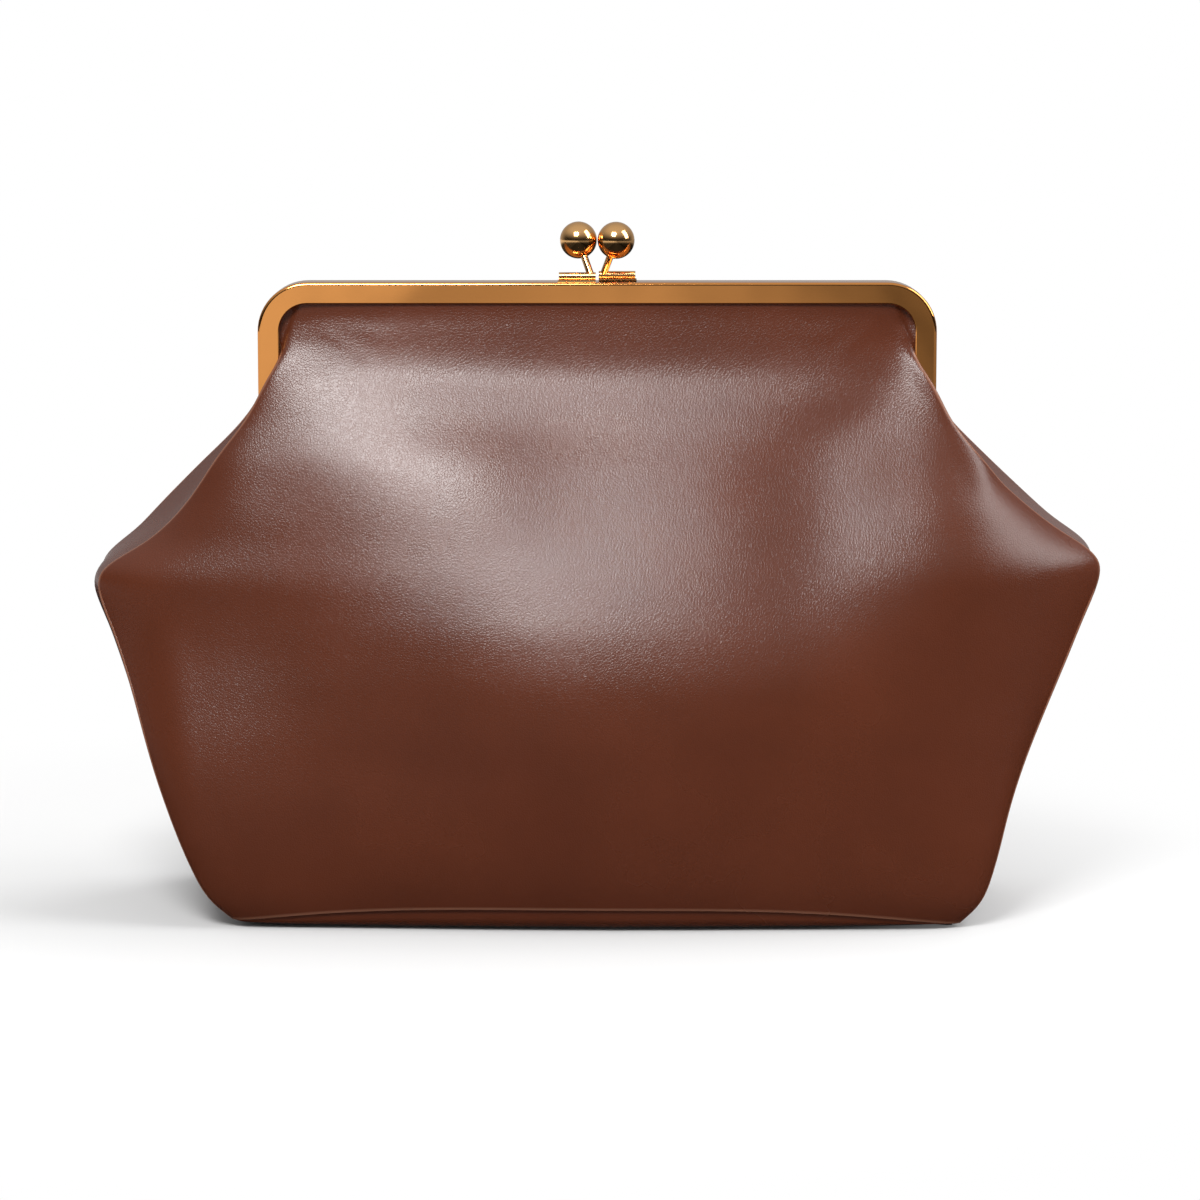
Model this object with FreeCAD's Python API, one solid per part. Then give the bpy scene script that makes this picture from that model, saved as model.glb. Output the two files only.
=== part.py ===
"""Kiss lock frame purse: a leather pouch on a hinged metal frame, closed by two balls that pass each other.

Millimetres. +Z is up, +X is to the right and the front looks along -Y.
The origin is on the floor, under the middle of the flat base.
Each function makes one piece, and the front and back halves mirror each other about the plane Y = 0.
"""

import FreeCAD
import Part

import math
import os

Vector = FreeCAD.Vector

# Frame: two channels of bent sheet, each an upside-down U
FRAME_WIDTH = 220.0
FRAME_RISE = 45.0
FRAME_CORNER_RADIUS = 16.0
FRAME_SHEET = 0.8
FRAME_EDGE_ROUND = 1.0
FLANGE_WIDTH = 7.0
FLANGE_LIP_ROUND = 0.4
PARTING_GAP = 0.3

# Hinge: an ear on each arm's end, riveted to the ear of the other half
HINGE_HEIGHT = 160.0
EAR_RADIUS = 3.5
EAR_END_CLEARANCE = 0.5
EAR_SIDE_CLEARANCE = 0.1
EAR_LAP = 6.0
RIVET_SHANK_RADIUS = 1.5
RIVET_HEAD_RADIUS = 2.8
RIVET_HEAD_HEIGHT = 1.1
RIVET_TAIL_RADIUS = 2.3
RIVET_TAIL_HEIGHT = 0.7
RIVET_RUNNING_CLEARANCE = 0.05

# Kiss lock: a ball on a leaning stem, set in a bar on a plate that is brazed to the frame's top
BALL_DIAMETER = 12.0
BALL_HEIGHT_OVER_FRAME = 13.3
BALL_PASSING_GAP = 0.2
BALL_CROSSING = 0.9
BALL_SOCKET_DEPTH = 3.0
STEM_RADIUS = 1.15
STEM_FOOT_OFFSET = 1.9
SOCKET_CLEARANCE = 0.03
LOCK_BAR_WALL = 0.25
LOCK_BAR_INNER_END = 0.5
LOCK_BAR_OUTER_END = 12.4
LOCK_PLATE_SHEET = 0.6
LOCK_PLATE_WIDTH = 4.4
LOCK_PLATE_MARGIN = 0.4

# Paper cord that is pressed into each channel to hold the leather there
CHANNEL_CORD_RADIUS = 0.8
CHANNEL_CORD_CLEARANCE = 0.25

# Sheets of the pouch
LEATHER = 1.4
LINING = 0.6
SOFT_GAP = 0.25
LINING_END_INSET = 5.0
BASE_BOARD_SHEET = 2.0

# Pouch: its widest points are the two side tips
BAG_WIDTH = 324.0
TIP_HEIGHT = 107.0
BASE_WIDTH = 246.0
SEAM_HEIGHT = 6.0
BASE_EDGE_DEPTH = 88.0
BASE_CROWN_DEPTH = 100.0
BELLY_CROWN_DEPTH = 110.0
TIP_EDGE_DEPTH = 34.0
TIP_CROWN_DEPTH = 85.0
HINGE_CROWN_DEPTH = 39.5
WING_EDGE_FULLNESS = 4.0
WING_OVERHANG = 4.0
WING_CLEARANCE = 5.0
MOUTH_END_CLEARANCE = 7.0
MOUTH_CROWN = 0.2
GUSSET_BULGE = 3.0
GUSSET_FOLD = 6.0
GUSSET_SETBACK = 0.8
GUSSET_LINING_DROP = 6.0
BASE_ROLL = 9.0
BASE_SHOULDER_HEIGHT = 2.0
BASE_SHOULDER_INSET = 3.2

# Split between the leather that stays with the pouch and the leather that swings with the frame
SPLIT_DROP = 3.0
SPLIT_GAP = 0.3
SPLIT_SIDE_OVERHANG = 2.0

OVERRUN = 10.0
MATCH_TOLERANCE = 0.01

# Places worked out from the sizes above
FRAME_HALF = FRAME_WIDTH / 2
FRAME_TOP_HEIGHT = HINGE_HEIGHT + FRAME_RISE
HALF_GAP = PARTING_GAP / 2
HELD_IN_CHANNEL = LEATHER + MOUTH_CROWN + LINING + 2 * CHANNEL_CORD_RADIUS
CHANNEL_DEPTH = 2 * FRAME_SHEET + HELD_IN_CHANNEL + 3 * SOFT_GAP + CHANNEL_CORD_CLEARANCE
CHANNEL_OUTER = HALF_GAP + CHANNEL_DEPTH
CHANNEL_MIDDLE = HALF_GAP + CHANNEL_DEPTH / 2
ARM_END_HEIGHT = HINGE_HEIGHT + EAR_RADIUS + EAR_END_CLEARANCE
OUTER_EAR_FACE = FRAME_HALF
INNER_EAR_FACE = FRAME_HALF - FRAME_SHEET - EAR_SIDE_CLEARANCE
BALL_RADIUS = BALL_DIAMETER / 2
BALL_SIDE_OFFSET = BALL_RADIUS + BALL_PASSING_GAP / 2
LOCK_BAR_RADIUS = STEM_RADIUS + LOCK_BAR_WALL
LOCK_BAR_HEIGHT = FRAME_TOP_HEIGHT + LOCK_PLATE_SHEET + LOCK_BAR_RADIUS - LOCK_PLATE_SHEET / 2
MOUTH_HEIGHT = FRAME_TOP_HEIGHT - FLANGE_WIDTH
LEATHER_TOP_HEIGHT = FRAME_TOP_HEIGHT - FRAME_SHEET - 2 * SOFT_GAP
MOUTH_HALF = FRAME_HALF - FLANGE_WIDTH - MOUTH_END_CLEARANCE
MOUTH_CROWN_OUTER = CHANNEL_OUTER - FRAME_SHEET - SOFT_GAP
HINGE_EDGE = CHANNEL_OUTER + LEATHER + SOFT_GAP + LINING + WING_CLEARANCE
SEAM_TOP = SEAM_HEIGHT + SOFT_GAP
GUSSET_TOP_HEIGHT = HINGE_HEIGHT - EAR_RADIUS - EAR_END_CLEARANCE - SOFT_GAP
SPLIT_HALF = FRAME_HALF + SPLIT_SIDE_OVERHANG


def between(start, end, share):
    """The value that lies this share of the way from start to end."""
    return start + (end - start) * share


class Level:
    """The pouch's outline at one height.

    half and edge are the half-width and half-depth at the panel's edge, crown is the half-depth
    at the panel's middle, and nose is the half-width at the gusset's middle."""

    def __init__(self, height, half, edge, crown, nose):
        self.height = height
        self.half = half
        self.edge = edge
        self.crown = crown
        self.nose = nose

    def inset(self, distance, height):
        """The same outline drawn in by a distance, at another height."""
        places = (self.half, self.edge, self.crown, self.nose)
        return Level(height, *(place - distance for place in places))


# Shares of the way from seam to tip: of height, width, edge depth, then of the crown and of the gusset's bulge
SEAM_TO_TIP_SHARES = [
    (0.0, 0.0, 0.0, 0.0, 0.7),
    (0.34, 0.4, 0.1, 0.96, 0.85),
    (0.68, 0.73, 0.4, 0.48, 0.85),
]
# Shares of the way from tip to hinge: of height, width, edge depth, crown, wing fullness and the gusset's fold
TIP_TO_HINGE_SHARES = [
    (0.34, 0.26, 0.34, 0.31, 1.0, 0.75),
    (0.72, 0.7, 0.72, 0.7, 0.55, 1.0),
    (1.0, 1.0, 1.0, 1.0, 0.0, 0.6),
]
# Shares of the way from hinge to mouth: of height, width, edge depth and crown
HINGE_TO_MOUTH_SHARES = [
    (0.26, 0.31, 0.25, 0.44),
    (0.58, 0.66, 0.66, 0.76),
    (0.84, 0.83, 0.95, 0.96),
    (1.0, 1.0, 1.0, 1.0),
]


def pouch_levels():
    """Every level of the pouch's outline, from the base seam up into the frame's channel."""
    tip_half = BAG_WIDTH / 2 - GUSSET_BULGE
    hinge_half = FRAME_HALF + WING_OVERHANG
    levels = []
    for height, width, edge, crown, bulge in SEAM_TO_TIP_SHARES:
        half = between(BASE_WIDTH / 2, tip_half, width)
        levels.append(Level(
            between(SEAM_HEIGHT, TIP_HEIGHT, height),
            half,
            between(BASE_EDGE_DEPTH, TIP_EDGE_DEPTH, edge) / 2,
            between(BASE_CROWN_DEPTH, BELLY_CROWN_DEPTH, crown) / 2,
            half + GUSSET_BULGE * bulge,
        ))
    levels.append(Level(TIP_HEIGHT, tip_half, TIP_EDGE_DEPTH / 2, TIP_CROWN_DEPTH / 2, BAG_WIDTH / 2))
    for height, width, edge, crown, fullness, fold in TIP_TO_HINGE_SHARES:
        half = between(tip_half, hinge_half, width)
        levels.append(Level(
            between(TIP_HEIGHT, HINGE_HEIGHT, height),
            half,
            between(TIP_EDGE_DEPTH / 2, HINGE_EDGE, edge) + WING_EDGE_FULLNESS * fullness,
            between(TIP_CROWN_DEPTH, HINGE_CROWN_DEPTH, crown) / 2,
            half - GUSSET_FOLD * fold,
        ))
    for height, width, edge, crown in HINGE_TO_MOUTH_SHARES:
        half = between(hinge_half, MOUTH_HALF, width)
        levels.append(Level(
            between(HINGE_HEIGHT, MOUTH_HEIGHT, height),
            half,
            between(HINGE_EDGE, MOUTH_CROWN_OUTER - MOUTH_CROWN, edge),
            between(HINGE_CROWN_DEPTH / 2, MOUTH_CROWN_OUTER, crown),
            half,
        ))
    top = levels[-1]
    levels.append(Level(LEATHER_TOP_HEIGHT, top.half, top.edge, top.crown, top.nose))
    return levels


POUCH_LEVELS = pouch_levels()


def level_at(height):
    """The pouch's outline at any height, on the straight lines between its levels."""
    for below, above in zip(POUCH_LEVELS, POUCH_LEVELS[1:]):
        if height <= above.height:
            break
    share = (height - below.height) / (above.height - below.height)
    return Level(
        height,
        between(below.half, above.half, share),
        between(below.edge, above.edge, share),
        between(below.crown, above.crown, share),
        between(below.nose, above.nose, share),
    )


def levels_between(low, high):
    """The outline at the low height, at every level in between and at the high height."""
    inner = [level for level in POUCH_LEVELS if low < level.height < high]
    return [level_at(low), *inner, level_at(high)]


def arc(start, middle, end):
    return Part.Arc(start, middle, end).toShape()


def line(start, end):
    return Part.LineSegment(start, end).toShape()


def closed_wire(points):
    """A wire of straight lines through the points and back to the first."""
    return Part.Wire([line(a, b) for a, b in zip(points, points[1:] + points[:1])])


def slab(wire, direction):
    """The flat region inside a wire, pushed along a direction."""
    return Part.Face(wire).extrude(direction)


def mirrored_back(shape):
    return shape.mirror(Vector(0, 0, 0), Vector(0, 1, 0))


def mirrored_left(shape):
    return shape.mirror(Vector(0, 0, 0), Vector(1, 0, 0))


def box_between(low, high):
    size = high - low
    return Part.makeBox(size.x, size.y, size.z, low)


# Pouch

# Where the front panel begins to turn into its side: shares of its half-width and of its fall in depth
SHOULDER_SHARE = 0.72
SHOULDER_FALL_SHARE = 0.32


class FrontLine:
    """The front panel's outer line at one level: a broad middle arc, and a flank arc tangent to it on each side."""

    def __init__(self, level):
        self.level = level
        shoulder_half = SHOULDER_SHARE * level.half
        shoulder_depth = between(level.crown, level.edge, SHOULDER_FALL_SHARE)
        rise = level.crown - shoulder_depth
        self.middle_radius = (shoulder_half ** 2 + rise ** 2) / (2 * rise)
        self.shoulder_turn = math.asin(shoulder_half / self.middle_radius)
        run, fall = level.half - shoulder_half, shoulder_depth - level.edge
        bend = math.atan2(fall, run) - self.shoulder_turn
        self.flank_radius = math.hypot(run, fall) / (2 * math.sin(bend))
        self.flank_centre_half = shoulder_half - self.flank_radius * math.sin(self.shoulder_turn)
        self.flank_centre_depth = shoulder_depth - self.flank_radius * math.cos(self.shoulder_turn)

    def point(self, turn, inset):
        """Where the line, drawn in by an inset, has turned through an angle from the panel's middle."""
        if abs(turn) > self.shoulder_turn:
            reach = self.flank_radius - inset
            half = self.flank_centre_half + reach * math.sin(abs(turn))
            depth = self.flank_centre_depth + reach * math.cos(turn)
        else:
            reach = self.middle_radius - inset
            half = reach * math.sin(abs(turn))
            depth = self.level.crown - self.middle_radius + reach * math.cos(turn)
        return Vector(math.copysign(half, turn), -depth, self.level.height)

    def turns(self, half):
        """The turns at the ends, middles and joints of the three arcs, out to a half-width on both sides."""
        end = math.asin((half - self.flank_centre_half) / self.flank_radius)
        flank = [self.shoulder_turn, (self.shoulder_turn + end) / 2, end]
        return [-turn for turn in reversed(flank)] + [0] + flank


def arcs_through(points):
    """One arc for each three points, each starting where the last one ends."""
    return [arc(*points[start:start + 3]) for start in range(0, len(points) - 1, 2)]


def panel_section(level, outer_inset, inner_inset, end_inset):
    """A slice of the front panel: a strip between two lines that are drawn in from its outer line."""
    front_line = FrontLine(level)
    turns = front_line.turns(level.half - end_inset)
    outer = [front_line.point(turn, outer_inset) for turn in turns]
    inner = [front_line.point(turn, inner_inset) for turn in reversed(turns)]
    ends = [line(outer[-1], inner[0]), line(inner[-1], outer[0])]
    return Part.Wire([*arcs_through(outer), ends[0], *arcs_through(inner), ends[1]])


def full_front(outer_inset, thickness, end_inset, low):
    """The front sheet from the base to the top of the frame's channel, before it is split at the hinge."""
    sections = [
        panel_section(level, outer_inset, outer_inset + thickness, end_inset)
        for level in levels_between(low, LEATHER_TOP_HEIGHT)
    ]
    return Part.makeLoft(sections, True, True)


def swing_zone(gap):
    """The space about the hinge whose leather swings with the frame, grown by a gap.

    Its lower limit is the front panel's own outline at the split, turned about the hinge axis,
    so the swinging leather slides inside the leather that stays."""
    half = SPLIT_HALF + gap
    split = level_at(HINGE_HEIGHT - SPLIT_DROP)
    front_line = FrontLine(split)
    points = [front_line.point(turn, 0) for turn in front_line.turns(half)]
    rim = [Vector(p.x, 0, HINGE_HEIGHT + math.hypot(p.y, SPLIT_DROP) + gap) for p in points]
    foot = [Vector(p.x, 0, HINGE_HEIGHT) for p in (rim[-1], rim[0])]
    sides = [line(rim[-1], foot[0]), line(foot[0], foot[1]), line(foot[1], rim[0])]
    profile = Part.Wire(arcs_through(rim) + sides)
    barrel = Part.Face(profile).revolve(Vector(0, 0, HINGE_HEIGHT), Vector(1, 0, 0), 360)
    above = box_between(
        Vector(-half, -BELLY_CROWN_DEPTH, HINGE_HEIGHT),
        Vector(half, BELLY_CROWN_DEPTH, FRAME_TOP_HEIGHT + OVERRUN),
    )
    return barrel.fuse(above).removeSplitter()


def one_solid(shape):
    """The single solid of a cut's result; a cut that leaves more than one is a mistake in the sizes."""
    solids = shape.Solids
    if len(solids) != 1:
        raise ValueError(f"expected one solid and got {len(solids)}")
    return solids[0]


def staying_front(sheet):
    return one_solid(sheet.cut(swing_zone(SPLIT_GAP / 2)))


def swinging_front(sheet):
    return one_solid(sheet.common(swing_zone(-SPLIT_GAP / 2)))


def leather_front():
    return full_front(0, LEATHER, 0, SEAM_TOP)


def lining_front():
    return full_front(LEATHER + SOFT_GAP, LINING, LINING_END_INSET, SEAM_TOP)


def gusset_section(level, shift, thickness, end_gap):
    """A slice of the right gusset: an arc from panel to panel, bulging below the tip and folded in above it."""
    seat_x = level.half - GUSSET_SETBACK
    seat_y = level.edge - LEATHER - SOFT_GAP
    rise = level.nose - seat_x
    radius = (seat_y ** 2 + rise ** 2) / (2 * rise)
    end_y = seat_y - end_gap
    end_x = level.nose - radius + math.copysign(math.sqrt(radius ** 2 - end_y ** 2), rise) - shift
    middle = Vector(level.nose - shift, 0, level.height)
    ends = [Vector(end_x, -end_y, level.height), middle, Vector(end_x, end_y, level.height)]
    inner = [point - Vector(thickness, 0, 0) for point in reversed(ends)]
    return Part.Wire([arc(*ends), line(ends[-1], inner[0]), arc(*inner), line(inner[-1], ends[0])])


def right_gusset(shift, thickness, end_gap, top):
    levels = levels_between(SEAM_TOP, top)
    sections = [gusset_section(level, shift, thickness, end_gap) for level in levels]
    return Part.makeLoft(sections, True, True)


def leather_gusset():
    return right_gusset(0, LEATHER, 0, GUSSET_TOP_HEIGHT)


def lining_gusset():
    top = GUSSET_TOP_HEIGHT - GUSSET_LINING_DROP
    return right_gusset(LEATHER + SOFT_GAP, LINING, LINING + 2 * SOFT_GAP, top)


def base_outline(inset, height):
    """The pouch's outline at the base seam, drawn in and set at a height."""
    level = POUCH_LEVELS[0].inset(inset, height)
    front_line = FrontLine(level)
    front = [front_line.point(turn, 0) for turn in front_line.turns(level.half)]
    back = [Vector(point.x, -point.y, height) for point in reversed(front)]
    right_nose = arc(front[-1], Vector(level.nose, 0, height), back[0])
    left_nose = arc(back[-1], Vector(-level.nose, 0, height), front[0])
    return Part.Wire([*arcs_through(front), right_nose, *arcs_through(back), left_nose])


def base_panel():
    """A shallow dish: a flat foot, a rolled shoulder and a rim at the seam."""
    outside = Part.makeLoft([
        base_outline(BASE_ROLL, 0),
        base_outline(BASE_SHOULDER_INSET, BASE_SHOULDER_HEIGHT),
        base_outline(0, SEAM_HEIGHT),
    ], True, True)
    inside = Part.makeLoft([
        base_outline(BASE_ROLL, LEATHER),
        base_outline(BASE_SHOULDER_INSET + LEATHER, BASE_SHOULDER_HEIGHT + LEATHER),
        base_outline(LEATHER, SEAM_HEIGHT + OVERRUN),
    ], True, True)
    return one_solid(outside.cut(inside))


def base_board():
    foot = LEATHER + SOFT_GAP
    return slab(base_outline(BASE_ROLL + SOFT_GAP, foot), Vector(0, 0, BASE_BOARD_SHEET))


def base_lining():
    foot = LEATHER + BASE_BOARD_SHEET + 2 * SOFT_GAP
    return slab(base_outline(BASE_ROLL, foot), Vector(0, 0, LINING))


# Frame

def frame_path(inset, foot, depth):
    """The frame's outline drawn in by an inset, from the left arm's foot over the top to the right arm's."""
    half = FRAME_HALF - inset
    top = FRAME_TOP_HEIGHT - inset
    radius = FRAME_CORNER_RADIUS - inset
    turn = radius * (1 - math.sqrt(0.5))
    left_foot = Vector(-half, depth, foot)
    left_start = Vector(-half, depth, top - radius)
    left_middle = Vector(turn - half, depth, top - turn)
    left_end = Vector(radius - half, depth, top)
    right_start = Vector(half - radius, depth, top)
    right_middle = Vector(half - turn, depth, top - turn)
    right_end = Vector(half, depth, top - radius)
    right_foot = Vector(half, depth, foot)
    return [
        line(left_foot, left_start),
        arc(left_start, left_middle, left_end),
        line(left_end, right_start),
        arc(right_start, right_middle, right_end),
        line(right_end, right_foot),
    ]


def frame_band(outer_inset, inner_inset, foot, front, back):
    """A solid U between two insets of the frame's outline and between two depths."""
    outer = frame_path(outer_inset, foot, front)
    inner = frame_path(inner_inset, foot, front)
    outer_half, inner_half = FRAME_HALF - outer_inset, FRAME_HALF - inner_inset
    closing = [
        line(Vector(side * outer_half, front, foot), Vector(side * inner_half, front, foot)) for side in (-1, 1)
    ]
    wire = Part.Wire(Part.__sortEdges__(outer + inner + closing))
    return slab(wire, Vector(0, back - front, 0))


def on_front_edge(edge, inset):
    """True for the edges of the front flange that follow the frame's outline at an inset."""
    middle = edge.valueAt((edge.FirstParameter + edge.LastParameter) / 2)
    across = abs(middle.x) - (FRAME_HALF - FRAME_CORNER_RADIUS)
    up = middle.z - (FRAME_TOP_HEIGHT - FRAME_CORNER_RADIUS)
    if across > 0 and up > 0:
        depth_inside = FRAME_CORNER_RADIUS - math.hypot(across, up)
    else:
        depth_inside = min(FRAME_HALF - abs(middle.x), FRAME_TOP_HEIGHT - middle.z)
    ends_in_front = all(abs(v.Y + CHANNEL_OUTER) < MATCH_TOLERANCE for v in edge.Vertexes)
    return ends_in_front and abs(depth_inside - inset) < MATCH_TOLERANCE


def front_channel():
    """A U-shaped channel that opens towards the pouch, with a rounded outer edge and lip in front."""
    block = frame_band(0, FLANGE_WIDTH, ARM_END_HEIGHT, -CHANNEL_OUTER, -HALF_GAP)
    bent = block.makeFillet(FRAME_EDGE_ROUND, [edge for edge in block.Edges if on_front_edge(edge, 0)])
    lip_edges = [edge for edge in bent.Edges if on_front_edge(edge, FLANGE_WIDTH)]
    rounded = bent.makeFillet(FLANGE_LIP_ROUND, lip_edges)
    groove = frame_band(
        FRAME_SHEET, FLANGE_WIDTH + FRAME_SHEET, ARM_END_HEIGHT - OVERRUN,
        FRAME_SHEET - CHANNEL_OUTER, -HALF_GAP - FRAME_SHEET,
    )
    return one_solid(rounded.cut(groove))


def ear(outer_face, neck):
    """The right ear of a front half: a disc about the hinge and a neck up to the arm, one sheet thick."""
    start = outer_face - FRAME_SHEET
    along = Vector(FRAME_SHEET, 0, 0)
    disc = Part.makeCylinder(EAR_RADIUS, FRAME_SHEET, Vector(start, 0, HINGE_HEIGHT), Vector(1, 0, 0))
    plate = slab(closed_wire([Vector(start, y, z) for y, z in neck]), along)
    return disc.fuse(plate)


def rivet_bore():
    radius = RIVET_SHANK_RADIUS + RIVET_RUNNING_CLEARANCE
    start = Vector(-FRAME_HALF - OVERRUN, 0, HINGE_HEIGHT)
    return Part.makeCylinder(radius, FRAME_WIDTH + 2 * OVERRUN, start, Vector(1, 0, 0))


def frame_half(channel, right_ear):
    whole = channel.fuse([right_ear, mirrored_left(right_ear)])
    return one_solid(whole.cut(rivet_bore()).removeSplitter())


def front_frame():
    """The front half: its ears go straight on from the arms' outer webs."""
    neck = [
        (-CHANNEL_OUTER, ARM_END_HEIGHT + FRAME_SHEET),
        (-HALF_GAP, ARM_END_HEIGHT + FRAME_SHEET),
        (-HALF_GAP, HINGE_HEIGHT),
        (-EAR_RADIUS, HINGE_HEIGHT),
        (-CHANNEL_OUTER, ARM_END_HEIGHT),
    ]
    return frame_half(front_channel(), ear(OUTER_EAR_FACE, neck))


def back_frame():
    """The back half: its ears are lapped inside the arms' webs, to lie inside the front half's ears."""
    inner, outer = HALF_GAP + FRAME_SHEET, CHANNEL_OUTER - FRAME_SHEET
    lap_height = ARM_END_HEIGHT + EAR_LAP
    neck = [
        (inner, lap_height),
        (outer, lap_height),
        (outer, ARM_END_HEIGHT),
        (EAR_RADIUS, HINGE_HEIGHT),
        (inner, HINGE_HEIGHT),
    ]
    lap = box_between(
        Vector(INNER_EAR_FACE - FRAME_SHEET, inner, ARM_END_HEIGHT),
        Vector(OUTER_EAR_FACE - FRAME_SHEET, outer, lap_height),
    )
    return frame_half(mirrored_back(front_channel()), ear(INNER_EAR_FACE, neck).fuse(lap))


def hinge_rivet():
    """The right rivet: a domed head outside, a shank through both ears and a peened tail inside."""
    head_start = OUTER_EAR_FACE + RIVET_RUNNING_CLEARANCE
    head_end = head_start + RIVET_HEAD_HEIGHT
    tail_end = INNER_EAR_FACE - FRAME_SHEET - RIVET_RUNNING_CLEARANCE
    tail_start = tail_end - RIVET_TAIL_HEIGHT
    dome_radius = (RIVET_HEAD_RADIUS ** 2 + RIVET_HEAD_HEIGHT ** 2) / (2 * RIVET_HEAD_HEIGHT)
    dome_angle = math.asin(RIVET_HEAD_RADIUS / dome_radius) / 2

    def at(x, reach):
        return Vector(x, 0, HINGE_HEIGHT + reach)

    corners = [
        at(tail_start, 0), at(tail_start, RIVET_TAIL_RADIUS), at(tail_end, RIVET_TAIL_RADIUS),
        at(tail_end, RIVET_SHANK_RADIUS), at(head_start, RIVET_SHANK_RADIUS), at(head_start, RIVET_HEAD_RADIUS),
    ]
    dome_middle = at(head_end - dome_radius * (1 - math.cos(dome_angle)), dome_radius * math.sin(dome_angle))
    edges = [line(a, b) for a, b in zip(corners, corners[1:])]
    edges.append(arc(corners[-1], dome_middle, at(head_end, 0)))
    edges.append(line(at(head_end, 0), corners[0]))
    return Part.Face(Part.Wire(edges)).revolve(at(0, 0), Vector(1, 0, 0), 360)


def channel_cord():
    """The paper cord of the front channel, along its whole run and close to the inner flange."""
    inset = FRAME_SHEET + CHANNEL_CORD_CLEARANCE + CHANNEL_CORD_RADIUS
    depth = -HALF_GAP - inset
    foot = ARM_END_HEIGHT + EAR_LAP + CHANNEL_CORD_CLEARANCE
    path = Part.Wire(frame_path(inset, foot, depth))
    start = path.Edges[0].firstVertex().Point
    circle = Part.Wire(Part.makeCircle(CHANNEL_CORD_RADIUS, start, Vector(0, 0, 1)))
    return path.makePipeShell([circle], True, False)


# Kiss lock: the front half carries the left ball

def stem_line():
    """Where the front half's stem stands and where its ball is."""
    foot = Vector(-STEM_FOOT_OFFSET, -CHANNEL_MIDDLE, LOCK_BAR_HEIGHT)
    ball = Vector(-BALL_SIDE_OFFSET, BALL_CROSSING, FRAME_TOP_HEIGHT + BALL_HEIGHT_OVER_FRAME)
    return foot, ball


def stem_solid(radius):
    foot, ball = stem_line()
    run = ball - foot
    length = run.Length - BALL_RADIUS + BALL_SOCKET_DEPTH
    rod = Part.makeCylinder(radius, length, foot, run)
    return rod.fuse(Part.makeSphere(radius, foot)).removeSplitter()


def lock_stem():
    return one_solid(stem_solid(STEM_RADIUS))


def lock_ball():
    _, ball = stem_line()
    return one_solid(Part.makeSphere(BALL_RADIUS, ball).cut(stem_solid(STEM_RADIUS + SOCKET_CLEARANCE)))


def lock_plate():
    """A thin plate on the frame's top with a round bar along it, socketed for the stem."""
    bar = Part.makeCylinder(
        LOCK_BAR_RADIUS, LOCK_BAR_OUTER_END - LOCK_BAR_INNER_END,
        Vector(-LOCK_BAR_OUTER_END, -CHANNEL_MIDDLE, LOCK_BAR_HEIGHT), Vector(1, 0, 0),
    )
    front, back = -CHANNEL_MIDDLE - LOCK_PLATE_WIDTH / 2, -CHANNEL_MIDDLE + LOCK_PLATE_WIDTH / 2
    plate = box_between(
        Vector(-LOCK_BAR_OUTER_END - LOCK_PLATE_MARGIN, front, FRAME_TOP_HEIGHT),
        Vector(-LOCK_BAR_INNER_END, back, FRAME_TOP_HEIGHT + LOCK_PLATE_SHEET),
    )
    above_frame = box_between(
        Vector(-FRAME_HALF, -CHANNEL_OUTER, FRAME_TOP_HEIGHT),
        Vector(FRAME_HALF, 0, FRAME_TOP_HEIGHT + BALL_DIAMETER),
    )
    whole = bar.common(above_frame).fuse(plate)
    return one_solid(whole.cut(stem_solid(STEM_RADIUS + SOCKET_CLEARANCE)).removeSplitter())


def turned_to_back(shape):
    """The same piece on the other half: turned half round about the vertical axis."""
    return shape.rotated(Vector(0, 0, 0), Vector(0, 0, 1), 180)


def pieces():
    """Every piece of the purse by its name."""
    leather, lining = leather_front(), lining_front()
    made = {
        "front_panel": staying_front(leather),
        "front_panel_top": swinging_front(leather),
        "front_lining": staying_front(lining),
        "front_lining_top": swinging_front(lining),
        "front_channel_cord": channel_cord(),
    }
    for name in list(made):
        made[name.replace("front", "back")] = mirrored_back(made[name])
    sides = {"gusset": leather_gusset(), "gusset_lining": lining_gusset(), "hinge_rivet": hinge_rivet()}
    for name, right in sides.items():
        made["right_" + name] = right
        made["left_" + name] = mirrored_left(right)
    lock = {"lock_plate": lock_plate(), "lock_stem": lock_stem(), "lock_ball": lock_ball()}
    for name, front in lock.items():
        made["front_" + name] = front
        made["back_" + name] = turned_to_back(front)
    made["front_frame"] = front_frame()
    made["back_frame"] = back_frame()
    made["base_panel"] = base_panel()
    made["base_board"] = base_board()
    made["base_lining"] = base_lining()
    return made


def main():
    os.makedirs("parts", exist_ok=True)
    for name, shape in pieces().items():
        shape.exportStep(f"parts/{name}.step")
        print(f"{name}: {shape.Volume:.1f} mm3, valid {shape.isValid()}")


main()
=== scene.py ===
import math

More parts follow.
